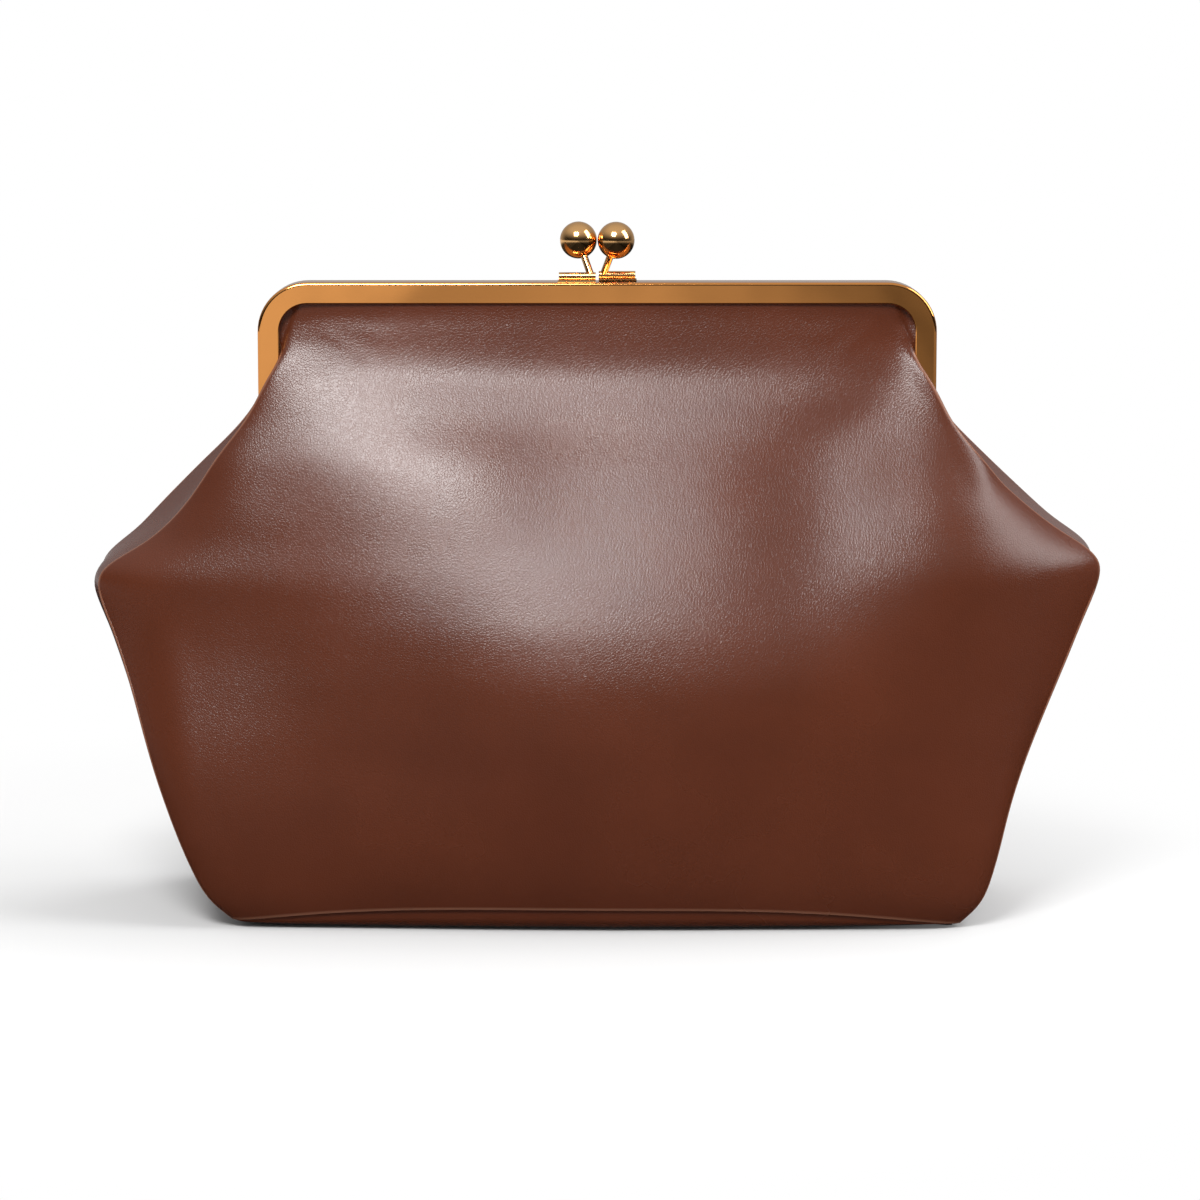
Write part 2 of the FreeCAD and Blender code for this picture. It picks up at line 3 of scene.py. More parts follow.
import bpy
import numpy as np
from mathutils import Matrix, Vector


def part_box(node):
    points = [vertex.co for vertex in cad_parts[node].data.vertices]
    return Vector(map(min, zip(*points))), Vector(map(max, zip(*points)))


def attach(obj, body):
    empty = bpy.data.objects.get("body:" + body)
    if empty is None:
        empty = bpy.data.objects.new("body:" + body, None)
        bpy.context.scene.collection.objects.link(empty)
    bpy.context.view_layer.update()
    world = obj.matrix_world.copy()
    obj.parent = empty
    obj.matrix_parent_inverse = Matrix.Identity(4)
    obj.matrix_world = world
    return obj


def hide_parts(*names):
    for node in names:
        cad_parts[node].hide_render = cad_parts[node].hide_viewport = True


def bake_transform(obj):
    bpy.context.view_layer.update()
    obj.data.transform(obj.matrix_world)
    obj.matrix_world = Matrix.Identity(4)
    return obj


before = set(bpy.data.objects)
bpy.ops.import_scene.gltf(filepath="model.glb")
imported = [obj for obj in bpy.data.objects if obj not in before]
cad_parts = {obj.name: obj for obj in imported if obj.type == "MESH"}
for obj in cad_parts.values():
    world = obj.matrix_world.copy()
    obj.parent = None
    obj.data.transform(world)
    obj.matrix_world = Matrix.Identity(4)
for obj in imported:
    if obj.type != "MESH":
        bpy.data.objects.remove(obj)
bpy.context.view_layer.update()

MM = 0.001

# Places that the CAD model gives, and how far a gusset's leather runs on above its solid
LEATHER_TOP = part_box("front_panel_top")[1].z
PANEL_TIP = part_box("front_panel")[1].x
GUSSET_RUN_ON = 5 * MM
GUSSET_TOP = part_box("right_gusset")[1].z + GUSSET_RUN_ON

# Sheets of the pouch: thicknesses, the gap between two sheets, the spacing of their points,
# and how far a panel's lining stops short of its side edges
LEATHER = 1.4 * MM
LINING = 0.6 * MM
SOFT_GAP = 0.25 * MM
MESH_STEP = 1.5 * MM
LINING_END_INSET = 5.0 * MM
LINING_INSET = LEATHER + SOFT_GAP

# The pouch at each of its levels, from the base seam up into the frame's channel, in mm and degrees:
# height and depth at the panel's middle, then height, half width and half depth at its side edge,
# and the angle that the panel has turned through when it reaches that edge.
# The tip's level stands past the CAD panel's tip, because softening the rows takes it back.
TIP_OVERSHOOT = 5
LEVELS = np.array([
    (7.7, 51.2, 1.1, 117.5, 41.0, 66),
    (14, 53.4, 8, 124.6, 43.0, 68),
    (26, 55.4, 20, 130.2, 42.4, 66),
    (44, 56.6, 41, 137.8, 39.4, 60),
    (60, 56.2, 59, 144.4, 35.6, 54),
    (76, 54, 75, 150.4, 31, 50),
    (92, 49.4, 92, 157, 25, 47),
    (107, 43.2, 111, PANEL_TIP / MM + TIP_OVERSHOOT, 18.6, 44),
    (125, 34.8, 126, 148.2, 18, 42),
    (145, 24.8, 145, 127.6, 14.2, 38),
    (160, 16.8, 160, 113.4, 11.2, 34),
    (168, 13.3, 168, 109, 9.8, 30),
    (175, 10.1, 175, 105.6, 8.7, 30),
    (180, 8.7, 180, 102.4, 7.4, 44),
    (185, 7.7, 185.5, 101, 4.9, 62),
    (191, 6.6, 192, 99.4, 4.2, 58),
    (198.6, 5.4, 198.6, 96, 5, 4),
    (LEATHER_TOP / MM, 5.4, LEATHER_TOP / MM, 96, 5.3, 0),
])
TIP_LEVEL = LEVELS[LEVELS[:, 3].argmax(), 2] * MM
ROW_SOFTNESS = 2

# Between its middle and its edge a row is a curve. The longer its pulls, as shares of the half width,
# the fuller the row. The middle's pull grows while the edge's turn goes on past WRAP_TURN,
# and the edge's pull rises no further than a share of the way to the middle's depth.
PULL_SHARE = 0.36
WRAPPED_PULL_SHARE = 0.38
WRAP_TURN = math.radians(36)
WRAP_RANGE = math.radians(54)
EDGE_RISE_SHARE = 0.9
LEAST_TURN = 0.02
SEAM_FLATNESS = 2.6

# The two sides differ a little, each by an amount that fades out over a reach from one height:
# how far the tip is raised, how far the front edge sags in above it, how far the wing above the tip
# and the side below it stand out, and how far the front edge lies back from its level's depth
TIP_RAISE = {"left": -2.0 * MM, "right": 2.0 * MM}
TIP_RAISE_REACH = 34 * MM
FRONT_EDGE_SAG = {"left": 8.0 * MM, "right": 7.0 * MM}
SAG_HEIGHT = {"left": 136 * MM, "right": 141 * MM}
SAG_REACH = {"left": 19 * MM, "right": 17 * MM}
WING_OUT = {"left": 3.0 * MM, "right": 0.5 * MM}
WING_HEIGHT = 140 * MM
WING_REACH = 20 * MM
SIDE_OUT = {"left": 3.8 * MM, "right": -3.0 * MM}
SIDE_HEIGHT = 45 * MM
SIDE_REACH = 36 * MM
FRONT_EDGE_BACK = {"left": 9.0 * MM, "right": 8.0 * MM}
EDGE_BACK_HEIGHT = 92 * MM
EDGE_BACK_REACH = 48 * MM

# Above the arms' free ends the panel's side edge turns back into the frame's channel
ARM_CHANNEL_HALF = 104.8 * MM
ARM_CHANNEL_DEPTH = 4.4 * MM
TURN_BACK_DEPTH = 3.0 * MM
TURN_BACK_HEIGHTS = (181 * MM, 188 * MM)
TURN_BACK_POINTS = 24
CORNER_CENTRE = (94 * MM, 189 * MM)
CORNER_REACH = 13.5 * MM

# Folds fade out between these distances below the leather's top edge, where the channel holds it
FOLDS_FADE = (16 * MM, 8 * MM)
FOLD_STEPS = 40

# Above the tip the gusset tucks in behind the front panel and folds in along a crease
GUSSET_COLUMNS = 47
TUCK_REACH = 8 * MM
CREASE_STARTS_BELOW_TIP = 6 * MM
CREASE_FULL_ABOVE_TIP = 12 * MM
CREASE_ROUNDNESS = 0.16

# How far the gusset's middle stands out from the line between its two edges, by height in mm
GUSSET_MIDDLE = np.array([
    (2, 0.8), (12, 1.8), (40, 2.8), (75, 2.8), (97, 2.6), (108, 2.2),
    (115, 1), (124, 0), (135, -1), (146, -2.5), (156, -3.5), (162, -4),
])


def ease(low, high, value):
    """0 before low, 1 past high and a smooth rise between them."""
    share = np.clip((value - low) / (high - low), 0, 1)
    return share * share * (3 - 2 * share)


def bell(value, middle, reach):
    """1 at the middle, and a smooth fall to both sides that has almost ended at twice the reach."""
    return np.exp(-((value - middle) / reach) ** 2)


def unit(vectors):
    """The vectors at length 1."""
    return vectors / np.linalg.norm(vectors, axis=-1, keepdims=True)


def three_point_bend(start, bend, end, share):
    """The place at a share of the way along a curve from start to end that leans towards bend."""
    return (1 - share) ** 2 * start + 2 * share * (1 - share) * bend + share ** 2 * end


def through(knots, values, at):
    """A smooth line through the values at the knots, that never swings past them."""
    step = np.diff(knots)
    slope = np.diff(values) / step
    product = slope[:-1] * slope[1:]
    same_way = product > 0
    mean = 2 * product / np.where(same_way, slope[:-1] + slope[1:], 1)
    tangent = np.concatenate([slope[:1], np.where(same_way, mean, 0), slope[-1:]])
    k = np.clip(np.searchsorted(knots, at, side="right") - 1, 0, len(step) - 1)
    t = (at - knots[k]) / step[k]
    return (
        (1 + 2 * t) * (1 - t) ** 2 * values[k]
        + t * (1 - t) ** 2 * step[k] * tangent[k]
        + t * t * (3 - 2 * t) * values[k + 1]
        + t * t * (t - 1) * step[k] * tangent[k + 1]
    )


def soften(line, reach):
    """The line with its corners rounded over that many steps to each side."""
    offsets = np.arange(-3 * reach, 3 * reach + 1)
    weight = np.exp(-0.5 * (offsets / reach) ** 2)
    extended = np.pad(line, 3 * reach, mode="reflect", reflect_type="odd")
    return np.convolve(extended, weight / weight.sum(), mode="valid")


def pouch_rows():
    """The columns of LEVELS at every row of the leather's mesh, in metres and radians."""
    middle = np.hypot(np.diff(LEVELS[:, 0]), np.diff(LEVELS[:, 1]))
    edge = np.hypot(np.diff(LEVELS[:, 2]), np.diff(LEVELS[:, 3]))
    knots = np.concatenate([[0], np.cumsum((middle + edge) / 2)]) * MM
    at = np.linspace(0, knots[-1], round(knots[-1] / MESH_STEP) + 1)
    units = [MM] * 5 + [math.radians(1)]
    return [soften(through(knots, column * size, at), ROW_SOFTNESS) for column, size in zip(LEVELS.T, units)]


ROWS = pouch_rows()


def edge_line(side, face):
    """Height, half width, half depth and turn of one panel's side edge, row by row."""
    _, _, height, half, depth, turn = ROWS
    raised = height + TIP_RAISE[side] * bell(height, TIP_LEVEL, TIP_RAISE_REACH)
    half = half + WING_OUT[side] * bell(height, WING_HEIGHT, WING_REACH)
    half = half + SIDE_OUT[side] * bell(height, SIDE_HEIGHT, SIDE_REACH)
    if face == "back":
        return raised, half, depth, turn
    sag = FRONT_EDGE_SAG[side] * bell(height, SAG_HEIGHT[side], SAG_REACH[side])
    set_back = FRONT_EDGE_BACK[side] * bell(height, EDGE_BACK_HEIGHT, EDGE_BACK_REACH)
    return raised, half - sag, depth - set_back, turn


def half_panel(side, face, columns):
    """Half of a panel, drawn at the front right: rows of evenly spaced points from middle to edge."""
    middle_height, middle_depth = ROWS[0], ROWS[1]
    height, half, depth, turn = edge_line(side, face)
    wrapped = np.clip((turn - WRAP_TURN) / WRAP_RANGE, 0, 1)
    middle_pull = half * (PULL_SHARE + WRAPPED_PULL_SHARE * wrapped)
    rise_limit = EDGE_RISE_SHARE * (middle_depth - depth) / np.sin(np.maximum(turn, LEAST_TURN))
    edge_pull = np.minimum(PULL_SHARE * half, rise_limit)
    fine_points = 4 * columns
    share = np.linspace(0, 1, fine_points)[:, None]
    weights = ((1 - share) ** 3, 3 * share * (1 - share) ** 2, 3 * share ** 2 * (1 - share), share ** 3)
    across = weights[1] * middle_pull + weights[2] * (half - edge_pull * np.cos(turn)) + weights[3] * half
    out = (
        (weights[0] + weights[1]) * middle_depth
        + weights[2] * (depth + edge_pull * np.sin(turn))
        + weights[3] * depth
    )
    up = middle_height + (height - middle_height) * (across / half) ** SEAM_FLATNESS
    points = np.concatenate([np.stack([across, -out, up], axis=-1), turned_back(height, half, depth)])
    return np.array([evenly(row, columns) for row in points.transpose(1, 0, 2)])


def turned_back(height, half, depth):
    """The strip of each row that turns back from the panel's edge into the arm's channel."""
    share = np.linspace(0, 1, TURN_BACK_POINTS)[1:, None] * ease(*TURN_BACK_HEIGHTS, height)
    rise = np.clip(height - CORNER_CENTRE[1], 0, CORNER_REACH)
    corner = CORNER_CENTRE[0] + np.sqrt(CORNER_REACH ** 2 - rise ** 2)
    end = np.maximum(np.minimum(ARM_CHANNEL_HALF, corner), half + SOFT_GAP)
    across = three_point_bend(half, half + LEATHER / 2, end, share)
    out = three_point_bend(depth, TURN_BACK_DEPTH, ARM_CHANNEL_DEPTH, share)
    return np.stack([across, -out, height + 0 * across], axis=-1)


def evenly(line, count):
    """The line with that many points, evenly spaced."""
    along = np.concatenate([[0], np.cumsum(np.linalg.norm(np.diff(line, axis=0), axis=1))])
    at = np.linspace(0, along[-1], count)
    return np.stack([np.interp(at, along, line[:, axis]) for axis in range(3)], axis=-1)


def grid_normals(grid):
    """The outward normals of a grid whose columns count to the right and rows upwards, seen from outside."""
    return unit(np.cross(np.gradient(grid, axis=1), np.gradient(grid, axis=0)))


def fold(grid, start, bend, end, widths, height):
    """How far a long soft fold, stroked along a bend of three points (x, z), lifts each point of a panel."""
    share = np.linspace(0, 1, FOLD_STEPS)[:, None]
    path = three_point_bend(np.array(start), np.array(bend), np.array(end), share)
    spacing = np.linalg.norm(np.gradient(path, axis=0), axis=1)
    lift = np.zeros(grid.shape[:2])
    for place, step, width in zip(path, spacing, np.linspace(*widths, FOLD_STEPS)):
        distance = np.hypot(grid[..., 0] / MM - place[0], grid[..., 2] / MM - place[1])
        lift += np.exp(-(distance / width) ** 2) * step / (width * math.sqrt(math.pi))
    return lift * height * MM


# Folds of the front panel: start, bend and end as (x, z), width at both ends and height, all in mm.
# The first two strokes of the left shoulder and the first four of the right one were found by a search
# that compared their sheen with the photo's, then adjusted a little. The others were chosen one by one.
FRONT_FOLDS = [
    # left shoulder: a broad roll beside the edge, a soft crest from there to the belly,
    # and the two hollows below that crest
    ((-140, 176), (-122, 140), (-118, 127), (11.8, 22.5), 3.2),
    ((-113, 156), (-76, 154), (-29, 141), (25, 23), 2.8),
    ((-116, 112), (-104, 70), (-84, 20), (34, 50), -9),
    ((-60, 84), (-50, 60), (-40, 40), (28, 34), -4),
    # right shoulder: a broad roll beside the edge with a thin ridge on it, a shallow valley from the
    # frame's corner, and the two hollows below it
    ((121, 201), (124, 185), (116, 111), (5.4, 26), 4.6),
    ((100, 191), (107, 180), (124, 140), (3.8, 5), 1.3),
    ((110, 204), (100, 162), (47, 140), (9, 12), -0.6),
    ((71, 148), (70, 107), (59, 99), (15, 22), -1.3),
    ((130, 76), (104, 52), (56, 36), (36, 36), -4),
    # creases under the frame's corners
    ((-92, 194), (-86, 188), (-76, 181), (2.2, 2.8), 0.1),
    ((-90, 195), (-80, 191), (-66, 186), (2.2, 2.8), 0.09),
    ((91, 194), (86, 188), (78, 182), (2.2, 2.8), 0.1),
    ((88, 195), (80, 191), (68, 187), (2.2, 2.8), 0.09),
    # lower corners: a soft roll down the left edge, a shallow dent beside the right one
    ((-141, 92), (-137, 70), (-135, 48), (7, 7), 0.7),
    ((-135, 48), (-132, 30), (-124, 14), (7, 7), 0.7),
    ((128, 80), (122, 56), (119, 32), (9, 9), -0.8),
]

# Folds of the back panel, written in the same way: softer ridges beside both edges, and one valley
BACK_FOLDS = [
    ((100, 184), (112, 160), (134, 128), (5, 8), 1.6),
    ((-99, 186), (-106, 162), (-126, 132), (5, 8), 1.9),
    ((-86, 190), (-80, 150), (-52, 112), (8, 22), -2.6),
]


def panel_grid(face, folds):
    """The outer surface of a leather panel, from side edge to side edge and from base seam to channel."""
    turn_back_columns = 4
    columns = round(PANEL_TIP / MESH_STEP) + turn_back_columns
    left = half_panel("left", face, columns) * (-1, 1, 1)
    right = half_panel("right", face, columns)
    grid = np.concatenate([left[:, :0:-1], right], axis=1)
    fade_start, fade_end = (LEATHER_TOP - below for below in FOLDS_FADE)
    loose = 1 - ease(fade_start, fade_end, grid[..., 2])
    lift = sum(fold(grid, *shape) for shape in folds) * loose
    grid = grid + grid_normals(grid) * lift[..., None]
    return grid if face == "front" else (grid * (1, -1, 1))[:, ::-1]


def gusset_edge(edge, inner, normal, tangent, tuck):
    """Where a gusset's edge lies: end to end with the panel's, or tucked in behind it above the tip."""
    tucked = tuck * ease(TIP_LEVEL - TUCK_REACH, TIP_LEVEL + TUCK_REACH, edge[:, 2])[:, None]
    flush = edge + tangent * SOFT_GAP
    behind = inner - normal * (LEATHER + SOFT_GAP)
    return flush * (1 - tucked) + behind * tucked


def gusset_grid(side, front, back):
    """The outer surface of a gusset: it bulges a little below the tip and folds in above it."""
    # the panel's last column, and the column inside it that a tucked edge lies behind
    outermost, inside = (-1, -3) if side == "right" else (0, 2)
    back_outermost, back_inside = -1 - outermost, -1 - inside
    out = 1 if side == "right" else -1
    edges = []
    for panel, last, within, tuck in ((front, outermost, inside, 1), (back, back_outermost, back_inside, 0)):
        normal = grid_normals(panel)[:, last]
        tangent = unit(panel[:, last] - panel[:, within])
        edges.append(gusset_edge(panel[:, last], panel[:, within], normal, tangent, tuck))
    keep = edges[0][:, 2] < GUSSET_TOP
    near, far = edges[0][keep], edges[1][keep]
    height = near[:, 2]
    across = np.linspace(-1, 1, GUSSET_COLUMNS)
    middle = soften(through(GUSSET_MIDDLE[:, 0] * MM, GUSSET_MIDDLE[:, 1] * MM, height), ROW_SOFTNESS)
    bulge = (1 - across ** 2) ** 2
    crease = math.hypot(1, CREASE_ROUNDNESS) - np.hypot(across, CREASE_ROUNDNESS)
    folded = ease(TIP_LEVEL - CREASE_STARTS_BELOW_TIP, TIP_LEVEL + CREASE_FULL_ABOVE_TIP, height)[:, None]
    profile = bulge * (1 - folded) + crease / crease.max() * folded
    share = ((across + 1) / 2)[None, :, None]
    grid = near[:, None] * (1 - share) + far[:, None] * share
    grid[..., 0] += out * middle[:, None] * profile
    return grid if side == "right" else grid[:, ::-1]


def inset_grid(grid, distance, ends):
    """The surface that lies this far inside a grid, short of its side edges, at half the points."""
    inner = (grid - grid_normals(grid) * distance)[::2]
    trimmed = round(ends / MESH_STEP)
    return inner[:, trimmed:inner.shape[1] - trimmed:2]


def tray_grid(front, right, back, left, rings):
    """A sheet over the pouch's base whose border follows the pouch's lowest row.

    rings holds the border's (inset, height, share of the seam's height) from the middle outwards, in mm.
    """
    inner_count = 36
    contour_points = 400
    count = inner_count + len(rings)
    lines = np.arange(-count + 1, count)
    j, i = np.meshgrid(lines, lines)
    ring = np.maximum(abs(i), abs(j))
    reach = np.maximum(ring, 1)
    share_x, share_y = j / reach, i / reach
    contour = np.zeros(ring.shape + (3,))
    for line, on_side, share in (
        (front[0], -i == ring, share_x), (back[0][::-1], i == ring, share_x),
        (left[0][::-1], -j == ring, share_y), (right[0], j == ring, share_y),
    ):
        points = evenly(line, contour_points)
        at = np.linspace(-1, 1, len(points))
        for axis in range(3):
            contour[..., axis] = np.where(on_side, np.interp(share, at, points[:, axis]), contour[..., axis])
    level = np.clip(ring - inner_count, 0, len(rings) - 1)
    inset, height, seam_share = np.array(rings)[level].transpose(2, 0, 1)
    half_width, half_depth = abs(contour[..., 0]).max(), abs(contour[..., 1]).max()
    scale = np.minimum(ring / inner_count, 1)
    x = contour[..., 0] * (1 - inset * MM / half_width) * scale
    y = contour[..., 1] * (1 - inset * MM / half_depth) * scale
    return np.stack([x, y, height * MM + contour[..., 2] * seam_share * scale], axis=-1)


def sheet_mesh(name, outer, thickness, material):
    """A sheet of that thickness inside an outer surface, with rounded edges all round."""
    rows, columns = outer.shape[:2]
    normal = grid_normals(outer)
    inner = outer - thickness * normal
    border = (
        [(0, c) for c in range(columns)] + [(r, columns - 1) for r in range(1, rows)]
        + [(rows - 1, c) for c in range(columns - 2, -1, -1)] + [(r, 0) for r in range(rows - 2, 0, -1)]
    )
    r, c = np.array(border).T
    away = outer[r, c] - outer[np.clip(r, 1, rows - 2), np.clip(c, 1, columns - 2)]
    across = normal[r, c]
    away = unit(away - across * (away * across).sum(axis=1, keepdims=True))
    centre = (outer[r, c] + inner[r, c]) / 2
    rim_angles = (math.pi / 4, math.pi / 2, 3 * math.pi / 4)
    rims = [
        centre + (across * math.cos(angle) + away * math.sin(angle)) * thickness / 2
        for angle in rim_angles
    ]
    points = np.concatenate([outer.reshape(-1, 3), inner.reshape(-1, 3), *rims])
    count = rows * columns
    index = np.arange(count).reshape(rows, columns)
    corners = [index[:-1, :-1], index[:-1, 1:], index[1:, 1:], index[1:, :-1]]
    quads = np.stack(corners, axis=-1).reshape(-1, 4)
    loops = [index[r, c]]
    loops += [2 * count + k * len(border) + np.arange(len(border)) for k in range(len(rims))]
    loops.append(count + index[r, c])
    faces = [quads, count + quads[:, ::-1]]
    for a, b in zip(loops, loops[1:]):
        faces.append(np.stack([a, b, np.roll(b, -1), np.roll(a, -1)], axis=-1))
    mesh = bpy.data.meshes.new(name)
    mesh.from_pydata(points.tolist(), [], np.concatenate(faces).tolist())
    mesh.polygons.foreach_set("use_smooth", np.ones(len(mesh.polygons), bool))
    lay_flat(mesh, outer, border, len(rims))
    mesh.materials.append(material)
    mesh.update()
    piece = bpy.data.objects.new(name, mesh)
    bpy.context.scene.collection.objects.link(piece)
    return piece


def lay_flat(mesh, outer, border, rim_count):
    """A UV map in metres, measured along the sheet, and each point's distance from the sheet's border."""
    rows, columns = outer.shape[:2]
    along = np.linalg.norm(np.diff(outer[rows // 2], axis=0), axis=1)
    up = np.linalg.norm(np.diff(outer[:, columns // 2], axis=0), axis=1)
    u, v = np.meshgrid(np.concatenate([[0], np.cumsum(along)]), np.concatenate([[0], np.cumsum(up)]))
    r, c = np.array(border).T
    flat = np.stack([u, v], axis=-1)
    places = np.concatenate([flat.reshape(-1, 2)] * 2 + [flat[r, c]] * rim_count)
    corner = np.zeros(len(mesh.loops), int)
    mesh.loops.foreach_get("vertex_index", corner)
    layer = mesh.uv_layers.new(name="cut")
    layer.uv.foreach_set("vector", places[corner].astype(np.float32).ravel())
    inside = np.minimum(np.minimum(u, u.max() - u), np.minimum(v, v.max() - v))
    distance = np.concatenate([inside.ravel()] * 2 + [np.zeros(len(border))] * rim_count)
    # each point's distance from the border, by which the leather paints its edges paler: rubbed wear and a
    # painted highlight
    edge_distance = mesh.attributes.new("from_edge", "FLOAT", "POINT")
    edge_distance.data.foreach_set("value", distance.astype(np.float32))


# Materials

def linear(code):
    """An sRGB hex colour as linear RGBA."""
    parts = [int(code[k:k + 2], 16) / 255 for k in (1, 3, 5)]
    return [p / 12.92 if p <= 0.04045 else ((p + 0.055) / 1.055) ** 2.4 for p in parts] + [1.0]


def add_node(tree, kind, inputs=None, **settings):
    """One node with its settings. An input that is given a socket is linked to it, any other is set."""
    node = tree.nodes.new(kind)
    for name, value in settings.items():
        setattr(node, name, value)
    for name, value in (inputs or {}).items():
        if isinstance(value, bpy.types.NodeSocket):
            tree.links.new(value, node.inputs[name])
        else:
            node.inputs[name].default_value = value
    return node


def new_material(name):
    """A material with an empty tree and its output."""
    material = bpy.data.materials.new(name)
    material.use_nodes = True
    material.node_tree.nodes.clear()
    output = material.node_tree.nodes.new("ShaderNodeOutputMaterial")
    return material, material.node_tree, output


def finished_cowhide():
    """Smooth cowhide with a satin finish: fine wrinkled grain, faint drift in the dye, and edges painted
    paler, partly as rubbed wear and partly as a painted highlight along the rounded rim.
    """
    material, tree, output = new_material("finished_cowhide")
    place = add_node(tree, "ShaderNodeTexCoord").outputs["Object"]
    dye_drift = 45 * MM
    wrinkle = 1 / (0.85 * MM)
    wrinkle_shift = 0.6 * MM
    grain_depth = 0.06 * MM
    worn_and_highlit_edge_width = 0.8 * MM
    drift = add_node(tree, "ShaderNodeTexNoise", {"Vector": place, "Scale": 1 / dye_drift, "Detail": 4.0})
    warp = add_node(tree, "ShaderNodeTexNoise", {"Vector": place, "Scale": wrinkle * 0.7, "Detail": 2.0})
    shifted = add_node(tree, "ShaderNodeVectorMath", {
        0: warp.outputs["Color"], "Scale": wrinkle_shift}, operation="SCALE")
    moved = add_node(tree, "ShaderNodeVectorMath", {0: place, 1: shifted.outputs[0]}, operation="ADD")
    cells = add_node(tree, "ShaderNodeTexVoronoi", {
        "Vector": moved.outputs[0], "Scale": wrinkle}, feature="DISTANCE_TO_EDGE")
    pads = add_node(tree, "ShaderNodeMapRange", {
        "Value": cells.outputs["Distance"], "From Max": 0.22, "To Max": 1.0},
        interpolation_type="SMOOTHSTEP")
    pores = add_node(tree, "ShaderNodeTexNoise", {"Vector": place, "Scale": wrinkle * 1.6, "Detail": 3.0})
    grain = add_node(tree, "ShaderNodeMath", {
        0: pads.outputs[0], 1: pores.outputs["Fac"]}, operation="ADD")
    bump = add_node(tree, "ShaderNodeBump", {
        "Height": grain.outputs[0], "Strength": 0.34, "Distance": grain_depth})
    dyed = add_node(tree, "ShaderNodeMix", {
        0: drift.outputs["Fac"], 6: linear("#401C0D"), 7: linear("#532512")}, data_type="RGBA")
    from_edge = add_node(tree, "ShaderNodeAttribute", attribute_name="from_edge")
    # the border is painted paler: partly rubbed wear, partly a painted highlight along the rim's rounded
    # edge
    rubbed = add_node(tree, "ShaderNodeMapRange", {
        "Value": from_edge.outputs["Fac"], "From Max": worn_and_highlit_edge_width, "To Min": 0.35, "To Max": 0.0})
    colour = add_node(tree, "ShaderNodeMix", {
        0: rubbed.outputs[0], 6: dyed.outputs[2], 7: linear("#A07058")}, data_type="RGBA")
    rough = add_node(tree, "ShaderNodeMapRange", {
        "Value": drift.outputs["Fac"], "To Min": 0.25, "To Max": 0.29})
    shader = add_node(tree, "ShaderNodeBsdfPrincipled", {
        "Base Color": colour.outputs[2], "Roughness": rough.outputs[0], "Specular IOR Level": 0.43,
        "Normal": bump.outputs[0]})
    tree.links.new(shader.outputs[0], output.inputs["Surface"])
    return material


def polished_brass(name, code, roughness):
    """Polished, lacquered brass: a warm mirror, a little wavy from bending and duller where rubbed."""
    material, tree, output = new_material(name)
    place = add_node(tree, "ShaderNodeTexCoord").outputs["Object"]
    rubbed_patch = 9 * MM
    wave_length = 34 * MM
    wave_depth = 0.22 * MM
    rubbed = add_node(tree, "ShaderNodeTexNoise", {
        "Vector": place, "Scale": 1 / rubbed_patch, "Detail": 5.0})
    waves = add_node(tree, "ShaderNodeTexNoise", {
        "Vector": place, "Scale": 1 / wave_length, "Detail": 1.0})
    rough = add_node(tree, "ShaderNodeMapRange", {
        "Value": rubbed.outputs["Fac"], "To Min": roughness * 0.7, "To Max": roughness * 1.3})
    bent = add_node(tree, "ShaderNodeBump", {
        "Height": waves.outputs["Fac"], "Strength": 1.0, "Distance": wave_depth})
    shader = add_node(tree, "ShaderNodeBsdfPrincipled", {
        "Base Color": linear(code), "Metallic": 1.0, "Roughness": rough.outputs[0],
        "Normal": bent.outputs[0]})
    tree.links.new(shader.outputs[0], output.inputs["Surface"])
    return material


def cotton_twill():
    """Cotton twill: a dull cloth with fine slanting ribs."""
    material, tree, output = new_material("cotton_twill")
    place = add_node(tree, "ShaderNodeUVMap", uv_map="cut").outputs[0]
    # the ribs of such a twill lie about 0.6 mm apart: too fine to show, so they are drawn twice as coarse
    rib = 1.2 * MM
    rib_depth = 0.1 * MM
    # a diagonal wave texture of scale 1 repeats after this length
    wave_of_scale_one = math.tau / 20 * math.sqrt(2)
    ribs = add_node(tree, "ShaderNodeTexWave", {
        "Vector": place, "Scale": wave_of_scale_one / rib, "Distortion": 0.6}, bands_direction="DIAGONAL")
    colour = add_node(tree, "ShaderNodeMix", {
        0: ribs.outputs["Fac"], 6: linear("#7A6248"), 7: linear("#9A8060")}, data_type="RGBA")
    bump = add_node(tree, "ShaderNodeBump", {
        "Height": ribs.outputs["Fac"], "Strength": 0.4, "Distance": rib_depth})
    shader = add_node(tree, "ShaderNodeBsdfPrincipled", {
        "Base Color": colour.outputs[2], "Roughness": 0.9, "Normal": bump.outputs[0], "Sheen Weight": 0.3})
    tree.links.new(shader.outputs[0], output.inputs["Surface"])
    return material


def pressed_fibre(name, dark, light, fibre):
    """Pressed paper fibre, as in board and in paper cord: matte, with short flecks."""
    material, tree, output = new_material(name)
    fleck_depth = 0.1 * MM
    place = add_node(tree, "ShaderNodeTexCoord").outputs["Object"]
    flecks = add_node(tree, "ShaderNodeTexNoise", {"Vector": place, "Scale": 1 / fibre, "Detail": 6.0})
    colour = add_node(tree, "ShaderNodeMix", {
        0: flecks.outputs["Fac"], 6: linear(dark), 7: linear(light)}, data_type="RGBA")
    bump = add_node(tree, "ShaderNodeBump", {
        "Height": flecks.outputs["Fac"], "Strength": 0.4, "Distance": fleck_depth})
    shader = add_node(tree, "ShaderNodeBsdfPrincipled", {
        "Base Color": colour.outputs[2], "Roughness": 0.92, "Normal": bump.outputs[0]})
    tree.links.new(shader.outputs[0], output.inputs["Surface"])
    return material


